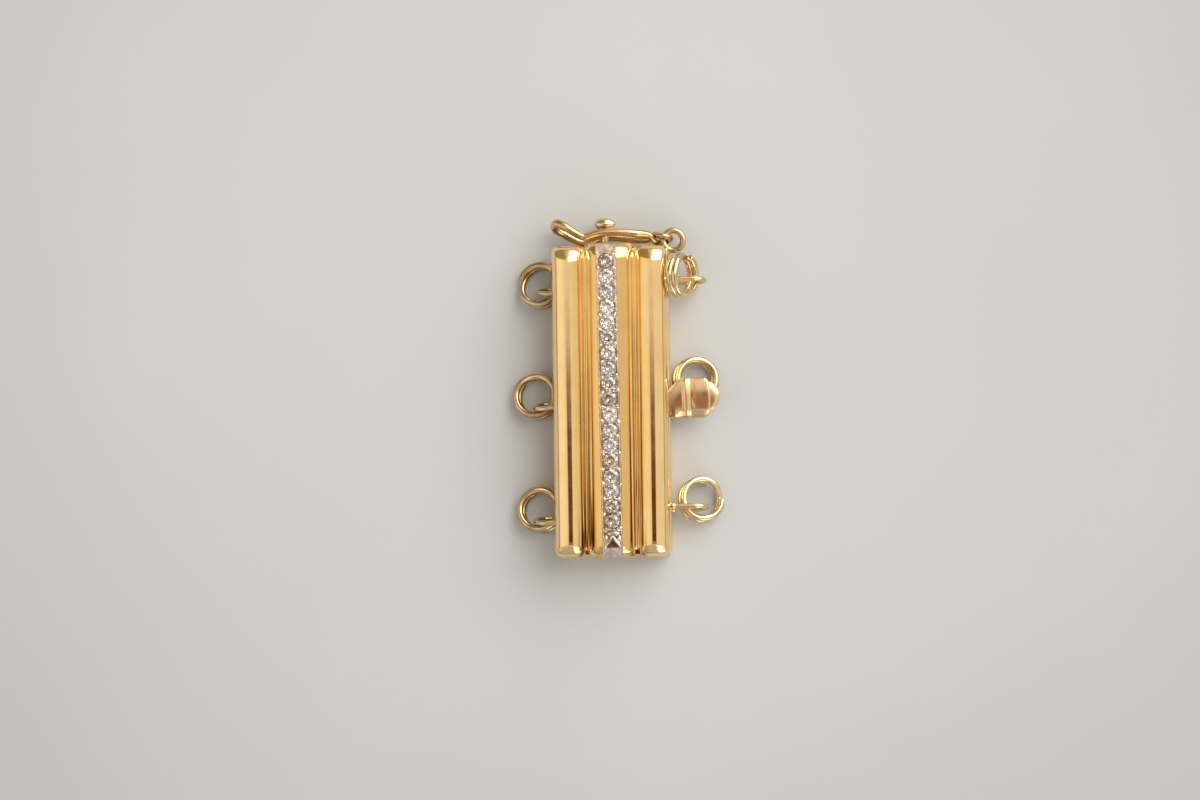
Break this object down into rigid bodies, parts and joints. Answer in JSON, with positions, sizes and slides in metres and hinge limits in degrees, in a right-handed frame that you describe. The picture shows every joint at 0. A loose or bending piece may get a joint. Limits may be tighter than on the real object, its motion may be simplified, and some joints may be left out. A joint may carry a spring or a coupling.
{
  "type": "multi-strand box clasp",
  "caption": "Ribbed gold box clasp with a line of round stones set along its middle, strand rings along both sides, a pull-out spring tongue and a wire safety catch.",
  "frame": {"origin": "middle of the flat back of the box, on the surface that the clasp lies on", "axes": "+X towards the side where the tongue is drawn out, +Y towards the end with the safety catch, +Z out of the jewelled face"},
  "size_m": [0.0183, 0.0295, 0.005],
  "materials": {
    "yellow_gold": "polished yellow gold",
    "pale_gold": "bright drawn wire of paler gold",
    "white_gold": "polished white gold",
    "stone": "clear faceted stone"
  },
  "bodies": {
    "case": {"case": "yellow_gold", "stone_plate": "white_gold", "stone_01": "stone", "stone_02": "stone", "stone_03": "stone", "stone_04": "stone", "stone_05": "stone", "stone_06": "stone", "stone_07": "stone", "stone_08": "stone", "stone_09": "stone", "stone_10": "stone", "stone_11": "stone", "stone_12": "stone", "stone_13": "stone", "stone_14": "stone", "stone_15": "stone", "stone_16": "stone", "stone_17": "stone", "stone_18": "stone", "ring_left_1": "pale_gold", "ring_left_2": "pale_gold", "ring_left_3": "pale_gold"},
    "tongue": {"tongue": "yellow_gold", "ring_right_1": "pale_gold", "ring_right_2": "pale_gold", "ring_right_3": "pale_gold"},
    "catch": {"safety_catch": "pale_gold"}
  },
  "joints": [
    {"name": "tongue_slide", "type": "slide", "parent": "case", "child": "tongue", "axis": [1, 0, 0], "range_m": [0, 0.009]},
    {"name": "catch_hinge", "type": "hinge", "parent": "tongue", "child": "catch", "pos_m": [0.00564, 0.01397, 0.0016], "axis": [0, 0, -1], "range_deg": [0, 130]}
  ],
  "couplings": [
    {"joint": "catch_hinge", "follows": "tongue_slide", "rad_per_m": 252}
  ]
}
